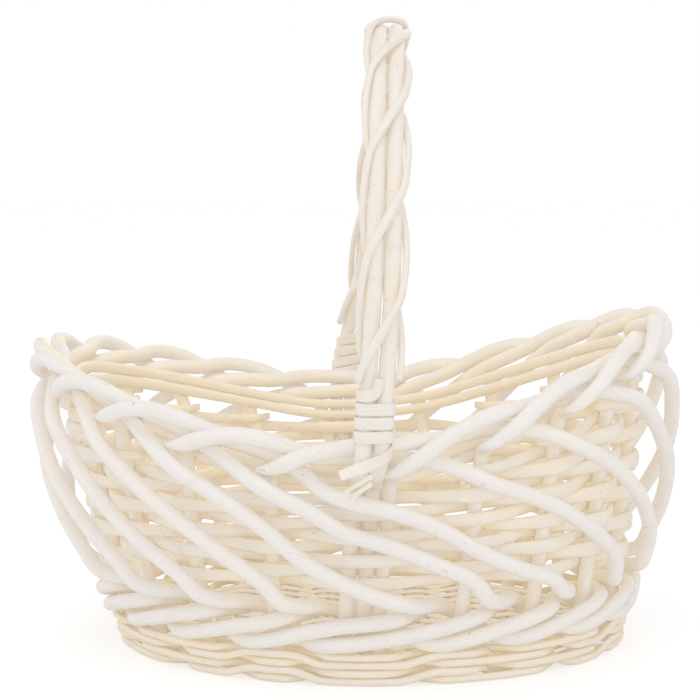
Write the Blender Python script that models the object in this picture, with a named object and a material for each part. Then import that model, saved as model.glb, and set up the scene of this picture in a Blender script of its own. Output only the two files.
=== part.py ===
"""Oval willow foraging basket with a boat-shaped rim and a fixed arched handle.

Lengths are in metres, +Z is up and the basket stands on z = 0, with its long way along X.
Twenty rods rise from the foot as stakes, fold outwards at the rim into a rolled border, run
down the outside as slanting rods, and end in a plait of rods above the foot. Weavers go in
front of and behind the stakes in rows.
"""

import math

import bmesh
import bpy
from mathutils import Vector

# Body of the basket, measured at the stakes' centre lines.
rim_half_length = 0.1635
rim_half_width = 0.1235
foot_half_length = 0.1355
foot_half_width = 0.1015
foot_shift = 0.0103
rim_shift = -0.0028
rim_height_middle = 0.128
rim_height_left = 0.1665
rim_height_right = 0.183
rim_rise_power = 1.46
flare_power = 0.85
twist_angle = math.radians(7.6)

# Rods, weavers and the gap that neighbours keep.
gap = 0.0003
weld_distance = 0.00001
rod_radius = 0.0043
stake_radius = 0.0038
foot_rod_radius = 0.0022
bow_radius = 0.0042
wrap_radius = 0.0025
skein_height = 0.0064
skein_thickness = 0.0010

# Counts.
stake_count = 20
half_count = stake_count // 2
row_count = 8
right_short_count = 4
left_short_count = 3
top_row_count = 2
foot_row_count = 4
base_row_count = 26
wrap_count = 3
binding_turns = 4

# Stakes round the foot: the near stake beside the handle, and the wider step at the handle.
first_stake_angle = math.radians(-89.0)
handle_step_extra = math.radians(4.4)

# Handle.
handle_top_height = 0.345
handle_top_aside = 0.0186
handle_bow_power = 2.25
handle_lean_power = 0.5
near_binding_lean = 0.0022
far_rim_lean = 0.0070
far_binding_lean = 0.0140
wrap_pitch = 0.140

# Worked out from the sizes above.
rod_size = 2 * rod_radius
foot_flat_depth = 0.2 * foot_rod_radius
foot_row_pitch = 2 * foot_rod_radius + gap
foot_row_first = foot_rod_radius - foot_flat_depth
foot_top = foot_row_first + (foot_row_count - 1) * foot_row_pitch + foot_rod_radius
weave_first = foot_top + 4.43 * rod_size
weave_top_drop = 3.15 * rod_size
right_top_drop = 3.95 * rod_size
left_top_drop = 4.45 * rod_size
top_row_drop = 1.81 * rod_size
right_row_count = row_count + right_short_count
left_row_count = row_count + left_short_count
row_pitch = (rim_height_middle - weave_top_drop - weave_first) / (row_count - 1)
right_pitch = (rim_height_right - right_top_drop - weave_first) / (right_row_count - 1)
left_pitch = (rim_height_left - left_top_drop - weave_first) / (left_row_count - 1)
weaver_radius = (min(row_pitch, right_pitch, left_pitch) - 2.6 * gap) / 2
short_row_power = 1.3
weaver_reach = stake_radius + weaver_radius + 4 * gap
right_short_reach = stake_radius + weaver_radius + 3 * gap
bow_extra_reach = bow_radius - stake_radius + gap
foot_row_reach = stake_radius + foot_rod_radius + 6 * gap
lattice_reach = weaver_reach + bow_extra_reach + weaver_radius + rod_radius + gap
bow_spacing = 2 * bow_radius + 2 * gap
bow_to_stake = bow_radius + stake_radius + 2 * gap
bow_stand_off = 1.06 * rod_size + rod_radius + skein_thickness + bow_radius + 5 * gap
bow_upright_drop = 3.6 * rod_size
wrap_reach = bow_radius + wrap_radius + 6.5 * gap
binding_reach = bow_radius + skein_thickness / 2 + 3 * gap
skein_pitch = skein_height + 2 * gap
binding_rise = (binding_turns + 0.6) * skein_pitch

# The way of one rod, in stakes past its own: stakes, height in rod sizes, reach in rod sizes.
# Heights of border knots count from the rim, and those of foot knots from the foot's top.
border_knot_shares = [
    (0.00, -2.90, 0.00),
    (0.00, -2.40, 0.45),
    (0.10, -1.70, 1.38),
    (0.25, -0.85, 1.92),
    (0.45, -0.25, 1.65),
    (0.72, 0.02, 1.28),
    (1.00, 0.00, 1.06),
    (1.25, -0.25, 0.74),
    (1.50, -0.62, 0.26),
    (2.00, -1.02, 0.00),
    (2.42, -1.66, 0.66),
    (2.70, -2.35, 1.32),
]
lattice_stakes = [3.0, 3.5, 4.0, 4.5, 5.0]
lattice_drop_shares = [0.00, 0.22, 0.44, 0.65, 0.83]
lattice_bulge_shares = [0.25, 0.80, 1.00, 0.75, 0.30]
plait_knot_shares = [
    (5.20, 3.98, 1.62),
    (5.40, 3.56, 1.00),
    (5.60, 3.16, 0.14),
    (5.80, 2.62, -0.72),
    (6.00, 1.95, -1.14),
    (6.20, 1.28, -0.78),
    (6.40, 0.76, 0.00),
    (6.60, 0.42, 0.62),
    (6.80, 0.48, 1.04),
    (7.00, 0.74, 1.14),
    (7.50, 1.35, 1.18),
    (8.00, 1.97, 1.14),
    (8.20, 2.16, 0.78),
    (8.36, 2.20, 0.05),
    (8.50, 2.22, -0.75),
]
# Slanting rods that hang above or below the others' line, in rod sizes at the stakes above.
lattice_lift_shares = {
    15: (0.00, 0.25, 0.55, 0.50, 0.10),
    16: (0.40, 0.90, 0.90, 0.45, 0.00),
    17: (0.45, 0.95, 0.40, 0.00, 0.00),
    18: (-0.35, -1.00, -1.45, -1.25, -0.55),
    19: (-0.75, -0.70, -0.45, -0.20, 0.00),
    20: (-0.65, -0.45, -0.20, 0.00, 0.00),
}
end_bulge = 0.009
crossing_share = 0.12
lattice_top_drop = 3.25 * rod_size
lattice_low_height = foot_top + 3.58 * rod_size


def clear_scene():
    for thing in list(bpy.data.objects):
        bpy.data.objects.remove(thing, do_unlink=True)


def collection_named(name):
    made = bpy.data.collections.new(name)
    bpy.context.scene.collection.children.link(made)
    return made


def willow(name, colour, roughness):
    """A Principled material of bleached willow."""
    material = bpy.data.materials.new(name)
    material.use_nodes = True
    shader = material.node_tree.nodes["Principled BSDF"]
    shader.inputs["Base Color"].default_value = (*colour, 1.0)
    shader.inputs["Roughness"].default_value = roughness
    shader.inputs["Metallic"].default_value = 0.0
    material.diffuse_color = (*colour, 1.0)
    return material


def mix(a, b, share):
    return a + (b - a) * share


def rim_height(rim_angle):
    """Height of the rim line above the ground at an angle round the oval."""
    along = math.cos(rim_angle)
    end = rim_height_right if along > 0 else rim_height_left
    return mix(rim_height_middle, end, abs(along) ** rim_rise_power)


def wall_point(foot_angle, height, reach):
    """Point on the wall above a place on the foot, moved outwards by reach."""
    share = height / rim_height(foot_angle + twist_angle)
    angle = foot_angle + twist_angle * share
    flare = share ** flare_power
    length = mix(foot_half_length, rim_half_length, flare)
    width = mix(foot_half_width, rim_half_width, flare)
    normal = Vector((width * math.cos(angle), length * math.sin(angle), 0)).normalized()
    centre = Vector((mix(foot_shift, rim_shift, share), 0, 0))
    on_oval = Vector((length * math.cos(angle), width * math.sin(angle), height))
    return centre + on_oval + normal * reach


def bundle_angle(distance):
    """Angle that a distance along the long side takes at the handle."""
    return distance / foot_half_length


def stake_angle(place, before_handle=False):
    """Angle on the foot of a place counted in stakes, where 0 and half way are at the handle.

    The handle's bows stand just before those two stakes, so the step before them ends at the
    first bow, and before_handle asks for that bow's angle.
    """
    step = (2 * math.pi - 2 * handle_step_extra) / stake_count
    turn, rest = divmod(place, half_count)
    whole, part = divmod(rest, 1)
    half_turn = half_count * step + handle_step_extra
    bundle = bundle_angle(bow_spacing + bow_to_stake)
    start = first_stake_angle + turn * half_turn
    if before_handle and rest == 0:
        return start - bundle
    if whole == half_count - 1:
        return start + whole * step + part * (step + handle_step_extra - bundle)
    return start + rest * step


def rim_over(place):
    """Rim height above a place counted in stakes."""
    return rim_height(stake_angle(place) + twist_angle)


def at_place(place, height, reach, before_handle=False):
    return wall_point(stake_angle(place, before_handle), height, reach)


def end_share(place):
    """How near a place is to the oval's ends: 0 at the handle, 1 at the ends."""
    return abs(math.cos(stake_angle(place) + twist_angle)) ** 3


def rod_knots(own):
    """Knots of one rod's way past the other stakes: stakes, height and reach."""
    for stakes, rise_share, reach_share in border_knot_shares:
        place = own + stakes
        yield stakes, rim_over(place) + rise_share * rod_size, reach_share * rod_size
    level = (0.0,) * len(lattice_stakes)
    lifts = lattice_lift_shares.get(own + 1, level)
    for stakes, drop, bulge, lift in zip(
        lattice_stakes, lattice_drop_shares, lattice_bulge_shares, lifts
    ):
        place = own + stakes
        top = rim_over(place) - lattice_top_drop
        stand_off = lattice_reach + end_bulge * bulge * end_share(place)
        yield stakes, mix(top, lattice_low_height, drop) + lift * rod_size, stand_off
    for stakes, rise_share, reach_share in plait_knot_shares:
        yield stakes, foot_top + rise_share * rod_size, reach_share * rod_size


def rod_points(own):
    """Points and radii of a whole rod: stake, border, lattice and plait.

    Where it passes the handle's bows it keeps its reach from the first bow to the stake.
    """
    foot_end = foot_row_first + foot_rod_radius
    uprights = 5
    points = []
    radii = []
    top = rim_over(own) + border_knot_shares[0][1] * rod_size
    for step in range(uprights):
        height = mix(foot_end, top, step / uprights)
        points.append(at_place(own, height, 0))
        radii.append(stake_radius)
    knots = list(rod_knots(own))
    for index, (stakes, height, reach) in enumerate(knots):
        radius = stake_radius if index < 2 else rod_radius
        place = own + stakes
        passes_handle = stakes >= 1 and place % half_count == 0
        if passes_handle:
            before, after = knots[index - 1], knots[index + 1]
            share = crossing_share / (stakes - before[0])
            first = mix(height, before[1], share)
            points.append(at_place(place, first, reach, before_handle=True))
            radii.append(radius)
            share = crossing_share / (after[0] - stakes)
            height = mix(height, after[1], share)
        points.append(at_place(place, height, reach))
        radii.append(radius)
    return points, radii


def rows_over(place):
    """How many rows fit above the first one at a place: more at the raised ends."""
    along = math.cos(stake_angle(place) + twist_angle)
    extra = right_short_count if along > 0 else left_short_count
    return row_count - 1 + extra * math.sin(math.pi / 2 * abs(along)) ** short_row_power


def row_height(place, row):
    """Centre height of a weaving row: the rows share the wall under the border evenly."""
    along = math.cos(stake_angle(place) + twist_angle)
    end_drop = right_top_drop if along > 0 else left_top_drop
    top = rim_over(place) - mix(weave_top_drop, end_drop, end_share(place))
    return weave_first + row * (top - weave_first) / rows_over(place)


def woven_points(first, last, height_at, amplitude, phase, closed, halves=True):
    """Zigzag past the stakes from one place to another, in front of and behind them."""
    points = []
    for place in range(first, last + (0 if closed else 1)):
        side = 1 if (place + phase) % 2 == 0 else -1
        if place % half_count == 0:
            reach = side * (amplitude + bow_extra_reach)
            points.append(at_place(place, height_at(place), reach, before_handle=True))
            points.append(at_place(place, height_at(place), reach))
        else:
            points.append(at_place(place, height_at(place), side * amplitude))
        if halves and (closed or place < last):
            half = place + 0.5
            points.append(at_place(half, height_at(half), 0))
    return points


def profile_square(name, width, height, collection):
    """Flat rectangle that a skein's ribbon is drawn with."""
    outline = bpy.data.curves.new(name, "CURVE")
    outline.dimensions = "2D"
    spline = outline.splines.new("POLY")
    corners = [(-1, -1), (1, -1), (1, 1), (-1, 1)]
    spline.points.add(len(corners) - 1)
    for point, (x, y) in zip(spline.points, corners):
        point.co = (x * width / 2, y * height / 2, 0, 1)
    spline.use_cyclic_u = True
    made = bpy.data.objects.new(name, outline)
    made.hide_render = True
    made.display_type = "WIRE"
    collection.objects.link(made)
    return made


def tube(name, points, radii, material, collection, closed=False, profile=None):
    """A rod along points, as a curve with a round section or a given profile."""
    curve = bpy.data.curves.new(name, "CURVE")
    curve.dimensions = "3D"
    curve.twist_mode = "Z_UP" if profile else "MINIMUM"
    spline = curve.splines.new("POLY")
    spline.points.add(len(points) - 1)
    largest = max(radii)
    for point, place, radius in zip(spline.points, points, radii):
        point.co = (*place, 1)
        point.radius = radius / largest
    spline.use_cyclic_u = closed
    spline.use_smooth = True
    if profile:
        curve.bevel_mode = "OBJECT"
        curve.bevel_object = profile
    else:
        curve.bevel_depth = largest
        curve.bevel_resolution = 1
    curve.use_fill_caps = True
    curve.materials.append(material)
    made = bpy.data.objects.new(name, curve)
    collection.objects.link(made)
    return made


def even(points, radius):
    return [radius] * len(points)


def make_rods(material, collection):
    for own in range(stake_count):
        points, radii = rod_points(own)
        tube(f"stake_rod_{own + 1:02d}", points, radii, material, collection)


def make_side_rows(material, collection):
    for row in range(row_count):
        points = woven_points(
            0, stake_count, lambda place: row_height(place, row), weaver_reach, row, True
        )
        name = f"side_weaver_{row + 1}"
        tube(name, points, even(points, weaver_radius), material, collection, closed=True)


def short_row_span(row, middle_place):
    """First and last stake of a short row, which runs while the rows that fit include it."""
    fit_share = 1.08
    spare_rows = 0.7
    first = last = middle_place
    while row <= fit_share * rows_over(first - 1) - spare_rows:
        first -= 1
    while row <= fit_share * rows_over(last + 1) - spare_rows:
        last += 1
    return first, last


def make_short_rows(material, collection):
    """Short rows that fill the raised ends above the full rows."""
    ends = [
        ("right", stake_count // 4, right_short_count, right_short_reach),
        ("left", 3 * stake_count // 4, left_short_count, weaver_reach),
    ]
    for side, middle_place, count, reach in ends:
        for extra in range(count):
            row = row_count + extra
            first, last = short_row_span(row, middle_place)
            points = woven_points(
                first, last, lambda place: row_height(place, row), reach, row, False
            )
            name = f"{side}_short_weaver_{extra + 1}"
            tube(name, points, even(points, weaver_radius), material, collection)


def make_top_rows(material, collection):
    """Rows inside the stakes, close under the border where the stakes fold outwards."""
    reach = -(stake_radius + weaver_radius + gap)
    slope_share = 1.3
    for row in range(top_row_count):
        points = []
        for place in range(stake_count):
            pitch = (2 * weaver_radius + gap) * mix(1, slope_share, end_share(place) ** 0.3)
            drop = top_row_drop + (top_row_count - 1 - row) * pitch
            height = rim_over(place) - drop
            if place % half_count == 0:
                points.append(at_place(place, height, reach, before_handle=True))
            points.append(at_place(place, height, reach))
        name = f"top_weaver_{row + 1}"
        tube(name, points, even(points, weaver_radius), material, collection, closed=True)


def as_mesh(piece, collection):
    """The curve's own surface as a mesh object, with its caps welded on."""
    graph = bpy.context.evaluated_depsgraph_get()
    mesh = bpy.data.meshes.new_from_object(piece.evaluated_get(graph))
    name, matrix = piece.name, piece.matrix_world.copy()
    bpy.data.objects.remove(piece, do_unlink=True)
    shape = bmesh.new()
    shape.from_mesh(mesh)
    bmesh.ops.remove_doubles(shape, verts=shape.verts, dist=weld_distance)
    bmesh.ops.recalc_face_normals(shape, faces=shape.faces)
    shape.to_mesh(mesh)
    shape.free()
    made = bpy.data.objects.new(name, mesh)
    made.matrix_world = matrix
    collection.objects.link(made)
    return made


def flat_bottomed(piece, collection, cutters):
    """Cuts a closed tube flat where the basket stands."""
    made = as_mesh(piece, collection)
    over = 2
    depth = 4 * foot_rod_radius
    bpy.ops.mesh.primitive_cube_add(size=1, location=(0, 0, -depth / 2))
    cutter = bpy.context.object
    cutter.name = "ground_cutter"
    cutter.scale = (over * 2 * rim_half_length, over * 2 * rim_half_width, depth)
    bpy.ops.object.transform_apply(location=False, rotation=False, scale=True)
    for holder in list(cutter.users_collection):
        holder.objects.unlink(cutter)
    cutters.objects.link(cutter)
    cutter.hide_render = True
    cutter.display_type = "WIRE"
    cut = made.modifiers.new("flat_bottom", "BOOLEAN")
    cut.operation = "DIFFERENCE"
    cut.solver = "EXACT"
    cut.object = cutter
    return made


def make_foot_rows(material, collection, cutters):
    for row in range(foot_row_count):
        height = foot_row_first + row * foot_row_pitch
        points = woven_points(
            0, stake_count, lambda place: height, foot_row_reach, row, True, halves=False
        )
        radii = even(points, foot_rod_radius)
        name = f"foot_weaver_{row + 1}"
        ring = tube(name, points, radii, material, collection, closed=True)
        if row == 0:
            flat_bottomed(ring, collection, cutters)


def make_base(material, collection):
    """Oval base with a ridge for each of its woven rows, above and below."""
    height = foot_row_first + foot_row_pitch
    inset = foot_row_reach + bow_extra_reach + foot_rod_radius + gap
    thickness = 2 * foot_rod_radius + 2 * gap
    ridge_depth_share = 0.32
    edge_share = 0.96
    half_length = wall_point(0, height, -inset).x - foot_shift
    half_width = wall_point(math.pi / 2, height, -inset).y
    lines = 2 * base_row_count + 1
    shape = bmesh.new()
    sections = []
    for index in range(lines):
        across = edge_share * mix(-1, 1, index / (lines - 1))
        reach = half_length * math.sqrt(1 - across * across)
        half_thickness = thickness / 2 * (1 if index % 2 else 1 - 2 * ridge_depth_share)
        corners = [(-1, -1), (1, -1), (1, 1), (-1, 1)]
        sections.append([
            shape.verts.new((foot_shift + side * reach, across * half_width,
                             height + level * half_thickness))
            for side, level in corners
        ])
    for a, b in zip(sections, sections[1:]):
        for first in range(4):
            second = (first + 1) % 4
            shape.faces.new((a[first], a[second], b[second], b[first]))
    shape.faces.new(sections[0])
    shape.faces.new(sections[-1])
    bmesh.ops.recalc_face_normals(shape, faces=shape.faces)
    mesh = bpy.data.meshes.new("base_panel")
    shape.to_mesh(mesh)
    shape.free()
    mesh.materials.append(material)
    collection.objects.link(bpy.data.objects.new("base_panel", mesh))


def beside_stake(place, height, reach, distance):
    """Point on the wall at a distance before a stake, measured along the wall."""
    angle = stake_angle(place)
    at_stake = wall_point(angle, height, reach)
    normal = wall_point(angle, height, reach + rod_size) - at_stake
    along = Vector((0, 0, 1)).cross(normal).normalized()
    return at_stake - along * distance


def bow_leg(place, from_stake, rim_lean, binding_lean):
    """Points of one leg of a bow, from the foot up past the border to the handle.

    Leans are lengths towards +X, at the rim and at the top of the binding.
    """
    knot_shares = [(-2.90, 0.00, 0.0), (-2.20, 0.66, 0.2), (-1.60, 1.45, 0.5), (-1.05, 2.02, 0.8)]
    binding_start_share = -0.55
    rim = rim_over(place)
    low = foot_top + 2 * gap
    upright_end = rim - bow_upright_drop
    legs = 3
    points = []
    for index in range(legs + 1):
        points.append(beside_stake(place, mix(low, upright_end, index / legs), 0, from_stake))
    for rise_share, reach_share, lean_share in knot_shares:
        height = rim + rise_share * rod_size
        knot = beside_stake(place, height, reach_share * rod_size, from_stake)
        points.append(knot + Vector((lean_share * rim_lean, 0, 0)))
    start = beside_stake(place, rim + binding_start_share * rod_size, bow_stand_off, from_stake)
    points.append(start + Vector((rim_lean, 0, 0)))
    points.append(start + Vector((binding_lean, 0, binding_rise)))
    return points


def bow_points(left):
    """A whole bow: near leg, arch, far leg. The left bow is the one at -X."""
    outer = bow_to_stake + bow_spacing
    near_from, far_from = (outer, bow_to_stake) if left else (bow_to_stake, outer)
    near = bow_leg(0, near_from, 0, near_binding_lean)
    far = bow_leg(half_count, far_from, far_rim_lean, far_binding_lean)
    spring, fall = near[-1], far[-1]
    aside = handle_top_aside + (-1 if left else 1) * bow_spacing / 2
    rise = handle_top_height - bow_radius - (spring.z + fall.z) / 2
    steps = 16
    arch = []
    for index in range(1, steps):
        turn = math.pi * index / steps
        across = math.copysign(abs(math.cos(turn)) ** (2 / handle_bow_power), math.cos(turn))
        up = math.sin(turn) ** (2 / handle_bow_power)
        place = spring.lerp(fall, (1 - across) / 2)
        place.z += rise * up
        leg_end = spring if across > 0 else fall
        place.x = mix(leg_end.x, aside, math.sin(turn) ** handle_lean_power)
        arch.append(place)
    return near + arch + list(reversed(far)), len(near), len(far)


def resample(points, count):
    """Points spaced evenly along a line of points."""
    lengths = [0]
    for a, b in zip(points, points[1:]):
        lengths.append(lengths[-1] + (b - a).length)
    made = []
    for index in range(count):
        wanted = lengths[-1] * index / (count - 1)
        at = max(i for i, length in enumerate(lengths[:-1]) if length <= wanted)
        span = lengths[at + 1] - lengths[at]
        made.append(points[at].lerp(points[at + 1], (wanted - lengths[at]) / span))
    return made, lengths[-1]


def round_pair(centre, across, outward, turn, radius):
    """Place on the stadium round the two bows, at an angle from their common line."""
    flat_share = 1.7
    side = max(-1, min(1, flat_share * math.cos(turn)))
    along = bow_spacing / 2 * side + radius * math.cos(turn)
    return centre + across * along + outward * radius * math.sin(turn)


def make_handle(rod_material, wrap_material, skein_material, collection, cutters):
    left, near_count, far_count = bow_points(True)
    right = bow_points(False)[0]
    for name, points in (("handle_bow_left", left), ("handle_bow_right", right)):
        tube(name, points, even(points, bow_radius), rod_material, collection)
    arch_left = left[near_count - 1 : len(left) - far_count + 1]
    arch_right = right[near_count - 1 : len(right) - far_count + 1]
    make_wraps(arch_left, arch_right, wrap_material, collection)
    at, above = near_count - 2, near_count - 1
    make_binding("near_binding", left, right, at, above, skein_material, collection, cutters)
    at, above = len(left) - far_count + 1, len(left) - far_count
    make_binding("far_binding", right, left, at, above, skein_material, collection, cutters)


def make_wraps(arch_left, arch_right, material, collection):
    """Thin rods wound round the two bows between the bindings."""
    samples = 36
    lefts, length = resample(arch_left, samples)
    rights, _ = resample(arch_right, samples)
    for index in range(wrap_count):
        points = []
        for step in range(samples):
            centre = (lefts[step] + rights[step]) / 2
            across = (rights[step] - lefts[step]).normalized()
            before, after = max(0, step - 1), min(samples - 1, step + 1)
            along = (lefts[after] - lefts[before]).normalized()
            outward = across.cross(along).normalized()
            turn = 2 * math.pi * (step / (samples - 1) * length / wrap_pitch)
            turn += 2 * math.pi * index / wrap_count
            points.append(round_pair(centre, across, outward, -turn, wrap_reach))
        trimmed = points[1:-1]
        name = f"handle_wrap_{index + 1}"
        tube(name, trimmed, even(trimmed, wrap_radius), material, collection)


def make_binding(name, first_bow, second_bow, at, above, material, collection, cutters):
    """Flat skein wound round both bows above the rim, with its tail over the border."""
    centre = (first_bow[at] + second_bow[at]) / 2
    upper = (first_bow[above] + second_bow[above]) / 2
    climb = (upper - centre) / (upper - centre).z
    across = second_bow[at] - first_bow[at]
    across.z = 0
    across.normalize()
    outward = across.cross(Vector((0, 0, 1)))
    steps = 12
    low = skein_height / 2 + gap
    points = []
    half = bow_spacing / 2 + binding_reach
    tail_shares = [(-1.7, -2.0), (-0.9, -1.3), (0.0, -0.7), (0.75, -0.25)]
    for side_share, drop_share in tail_shares:
        aside = across * half * side_share + outward * (binding_reach + skein_thickness)
        points.append(centre + aside + climb * (low + drop_share * skein_pitch))
    for index in range(binding_turns * steps + 1):
        turn = -2 * math.pi * index / steps
        lift = climb * (low + skein_pitch * index / steps)
        points.append(round_pair(centre, across, outward, turn, binding_reach) + lift)
    profile = profile_square(f"{name}_profile", skein_thickness, skein_height, cutters)
    ribbon = tube(name, points, even(points, 1), material, collection, profile=profile)
    as_mesh(ribbon, collection)


def build():
    clear_scene()
    basket = collection_named("mushroom_foraging_basket")
    cutters = collection_named("cutters")
    peeled = willow("peeled_willow_rod", (0.86, 0.82, 0.76), 0.55)
    weaver = willow("willow_weaver", (0.85, 0.80, 0.71), 0.6)
    fine = willow("fine_foot_willow", (0.84, 0.79, 0.68), 0.6)
    handle = willow("handle_willow", (0.85, 0.80, 0.72), 0.5)
    skein = willow("willow_skein", (0.83, 0.79, 0.71), 0.6)
    make_rods(peeled, basket)
    make_side_rows(weaver, basket)
    make_short_rows(weaver, basket)
    make_top_rows(weaver, basket)
    make_foot_rows(fine, basket, cutters)
    make_base(fine, basket)
    make_handle(handle, fine, skein, basket, cutters)


build()
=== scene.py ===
import math
import random

import bpy
import numpy as np
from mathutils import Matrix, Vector, noise


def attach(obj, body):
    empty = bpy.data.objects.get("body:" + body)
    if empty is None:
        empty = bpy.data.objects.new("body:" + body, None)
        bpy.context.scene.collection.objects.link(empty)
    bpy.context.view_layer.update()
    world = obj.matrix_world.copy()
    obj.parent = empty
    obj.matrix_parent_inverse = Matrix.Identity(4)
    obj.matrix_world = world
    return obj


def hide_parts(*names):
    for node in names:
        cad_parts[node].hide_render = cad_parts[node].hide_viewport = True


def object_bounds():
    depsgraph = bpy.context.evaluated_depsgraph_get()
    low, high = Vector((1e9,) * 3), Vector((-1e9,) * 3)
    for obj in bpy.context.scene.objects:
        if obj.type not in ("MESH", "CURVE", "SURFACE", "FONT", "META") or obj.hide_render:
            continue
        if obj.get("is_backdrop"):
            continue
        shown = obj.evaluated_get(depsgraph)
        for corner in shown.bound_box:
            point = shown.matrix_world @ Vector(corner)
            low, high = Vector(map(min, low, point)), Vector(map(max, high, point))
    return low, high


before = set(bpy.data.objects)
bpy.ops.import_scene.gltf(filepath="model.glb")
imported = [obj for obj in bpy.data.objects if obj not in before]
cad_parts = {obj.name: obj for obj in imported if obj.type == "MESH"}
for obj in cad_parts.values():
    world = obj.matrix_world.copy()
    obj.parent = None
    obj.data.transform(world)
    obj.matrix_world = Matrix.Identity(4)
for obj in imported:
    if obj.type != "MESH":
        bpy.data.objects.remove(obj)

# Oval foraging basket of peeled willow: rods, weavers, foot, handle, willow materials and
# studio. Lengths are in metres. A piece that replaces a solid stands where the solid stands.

cad_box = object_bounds()

# Camera, at the photograph's viewpoint.
camera_azimuth = 0.0123
camera_distance = 1.0582
camera_height = 0.2906
camera_aim_height = 0.15
camera_aside = -0.0022
camera_lens_mm = 96.55
camera_sensor_mm = 36.0
camera_shift_up = 0.0324

# Light of the studio. The floor's glow is seen by the camera alone.
sky_colour = (0.985, 0.99, 1.0)
sky_power = 0.50
fill_angle = math.radians(60)
floor_glow = 1.345
floor_glow_share = 0.35
floor_drop = 0.0004

# Body of the basket, measured at the stakes' centre lines.
rim_half_length = 0.1635
rim_half_width = 0.1235
foot_half_length = 0.1355
foot_half_width = 0.1015
foot_shift = 0.0103
rim_shift = -0.0028
rim_height_middle = 0.128
rim_height_left = 0.1665
rim_height_right = 0.183
rim_rise_power = 1.46
flare_power = 0.85
twist_angle = math.radians(7.6)

# Rods, weavers and the gap that neighbours keep.
gap = 0.0003
rod_radius = 0.0043
stake_radius = 0.0038
foot_rod_radius = 0.0022
bow_radius = 0.0042
skein_height = 0.0064
skein_thickness = 0.0010

stake_count = 20
half_count = stake_count // 2
right_place = stake_count // 4
left_place = 3 * stake_count // 4
row_count = 8
right_short_count = 4
left_short_count = 3
top_row_count = 2
foot_row_count = 4
base_row_count = 26
wrap_count = 3
binding_turns = 4
first_stake_angle = math.radians(-89.0)
handle_step_extra = math.radians(4.4)

handle_top_height = 0.345
handle_top_aside = 0.0186
handle_bow_power = 2.25
handle_lean_power = 0.5
near_binding_lean = 0.0022
far_rim_lean = 0.0070
far_binding_lean = 0.0140
wrap_pitch = 0.160
wrap_phase = -0.65
wrap_half_thickness = 0.0018
skein_half_thickness = 0.0004
wrap_half_height = 0.0024

rod_size = 2 * rod_radius
foot_flat_depth = 0.2 * foot_rod_radius
foot_row_pitch = 2 * foot_rod_radius + gap
foot_row_first = foot_rod_radius - foot_flat_depth
foot_top = foot_row_first + (foot_row_count - 1) * foot_row_pitch + foot_rod_radius
weave_first = foot_top + 4.43 * rod_size
weave_top_drop = 3.15 * rod_size
right_top_drop = 3.95 * rod_size
left_top_drop = 4.45 * rod_size
top_row_drop = 1.81 * rod_size
right_row_count = row_count + right_short_count
left_row_count = row_count + left_short_count
row_pitch = (rim_height_middle - weave_top_drop - weave_first) / (row_count - 1)
right_pitch = (rim_height_right - right_top_drop - weave_first) / (right_row_count - 1)
left_pitch = (rim_height_left - left_top_drop - weave_first) / (left_row_count - 1)
weaver_radius = (min(row_pitch, right_pitch, left_pitch) - 2.6 * gap) / 2
short_row_power = 1.3
weaver_reach = stake_radius + weaver_radius + 4 * gap
bow_extra_reach = bow_radius - stake_radius + gap
foot_row_reach = stake_radius + foot_rod_radius + 6 * gap
lattice_reach = weaver_reach + bow_extra_reach + weaver_radius + rod_radius + gap
bow_spacing = 2 * bow_radius + 2 * gap
bow_to_stake = bow_radius + stake_radius + 2 * gap
bow_stand_off = 1.06 * rod_size + rod_radius + skein_thickness + bow_radius + 5 * gap
bow_upright_drop = 3.6 * rod_size
wrap_reach = bow_radius + wrap_half_thickness + 2.2 * gap
binding_reach = bow_radius + skein_half_thickness + 1.9 * gap
skein_pitch = skein_height + 2 * gap
binding_rise = (binding_turns + 0.6) * skein_pitch

# One rod in the border: how many stakes on, height and reach in rod sizes, and how thick the
# creased rod is there, from the wall outwards and in height.
border_knot_shares = [
    (0.00, -2.90, 0.00, 1.00, 1.00),
    (0.00, -2.46, 0.06, 0.95, 0.90),
    (0.00, -2.18, 0.36, 0.80, 0.62),
    (-0.02, -1.98, 0.84, 0.72, 0.46),
    (-0.03, -1.82, 1.22, 0.66, 0.46),
    (0.07, -1.60, 1.42, 0.72, 0.70),
    (0.25, -1.06, 1.68, 0.88, 0.96),
    (0.45, -0.44, 1.60, 0.98, 1.00),
    (0.72, -0.02, 1.28, 1.00, 1.00),
    (1.00, 0.00, 1.06, 1.00, 1.00),
    (1.25, -0.25, 0.74, 1.00, 1.00),
    (1.50, -0.62, 0.26, 1.00, 1.00),
    (2.00, -1.02, 0.00, 1.00, 1.00),
    (2.42, -1.66, 0.66, 1.00, 1.00),
    (2.70, -2.35, 1.32, 1.00, 1.00),
]
# Where the rod slants down: stakes, drop and bulge.
lattice_knot_shares = [
    (3.0, 0.00, 0.25),
    (3.5, 0.22, 0.80),
    (4.0, 0.45, 1.00),
    (4.5, 0.67, 0.75),
    (5.0, 0.88, 0.30),
]
# In the plait above the foot: stakes, and height and reach in rod sizes.
plait_knot_shares = [
    (5.20, 3.38, 1.62),
    (5.40, 3.02, 1.00),
    (5.60, 2.84, 0.14),
    (5.80, 2.50, -0.72),
    (6.00, 1.95, -1.14),
    (6.20, 1.28, -0.78),
    (6.40, 0.76, 0.00),
    (6.60, 0.50, 0.62),
    (6.80, 0.54, 1.04),
    (7.00, 0.74, 1.14),
    (7.50, 1.35, 1.18),
    (8.00, 1.97, 1.14),
    (8.20, 2.16, 0.78),
    (8.36, 2.20, 0.05),
    (8.50, 2.22, -0.75),
]
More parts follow.
